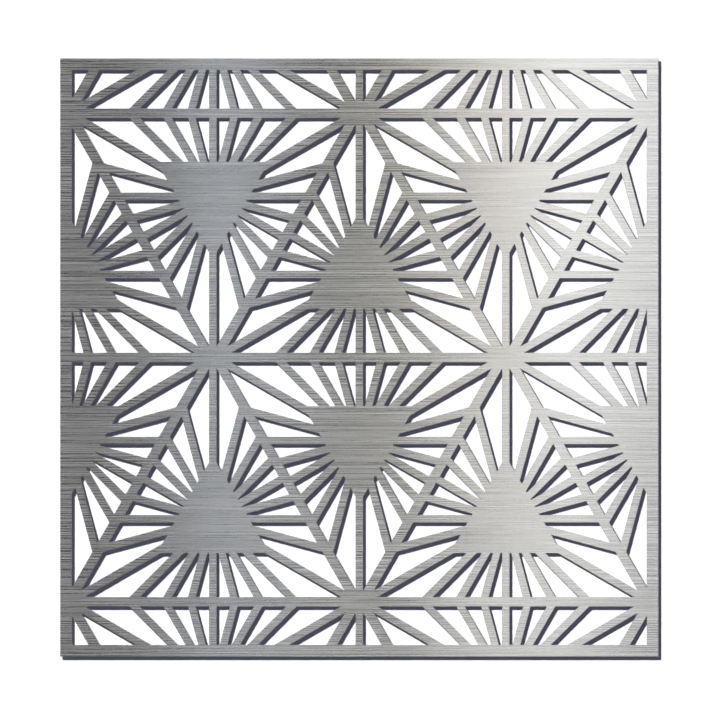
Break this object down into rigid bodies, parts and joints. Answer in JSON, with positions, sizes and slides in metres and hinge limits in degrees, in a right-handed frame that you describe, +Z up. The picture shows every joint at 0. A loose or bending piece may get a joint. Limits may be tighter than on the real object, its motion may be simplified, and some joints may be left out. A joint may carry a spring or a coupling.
{
  "type": "laser cut metal screen",
  "caption": "Flat square metal screen pierced with rows of triangular starbursts, with welded studs, spacer tubes and washers that hold it off a wall.",
  "frame": {"origin": "middle of the four studs, on the plane of the wall that the washers bear on", "axes": "+Z up, +Y out of the back into the wall, and the front faces -Y; +X is to the right of someone who looks at the front"},
  "size_m": [0.6, 0.028, 0.6],
  "materials": {
    "brushed_sheet": "brushed along the width on the front, plain mill finish on the back, dark laser cut edges",
    "stud_steel": "bright rolled stainless steel thread",
    "spacer_aluminium": "turned, satin",
    "washer_rubber": "matt moulded rubber"
  },
  "bodies": {
    "root": {"screen_panel": "brushed_sheet", "stud_top_left": "stud_steel", "stud_top_right": "stud_steel", "stud_bottom_left": "stud_steel", "stud_bottom_right": "stud_steel", "spacer_top_left": "spacer_aluminium", "spacer_top_right": "spacer_aluminium", "spacer_bottom_left": "spacer_aluminium", "spacer_bottom_right": "spacer_aluminium", "washer_top_left": "washer_rubber", "washer_top_right": "washer_rubber", "washer_bottom_left": "washer_rubber", "washer_bottom_right": "washer_rubber"}
  },
  "joints": []
}
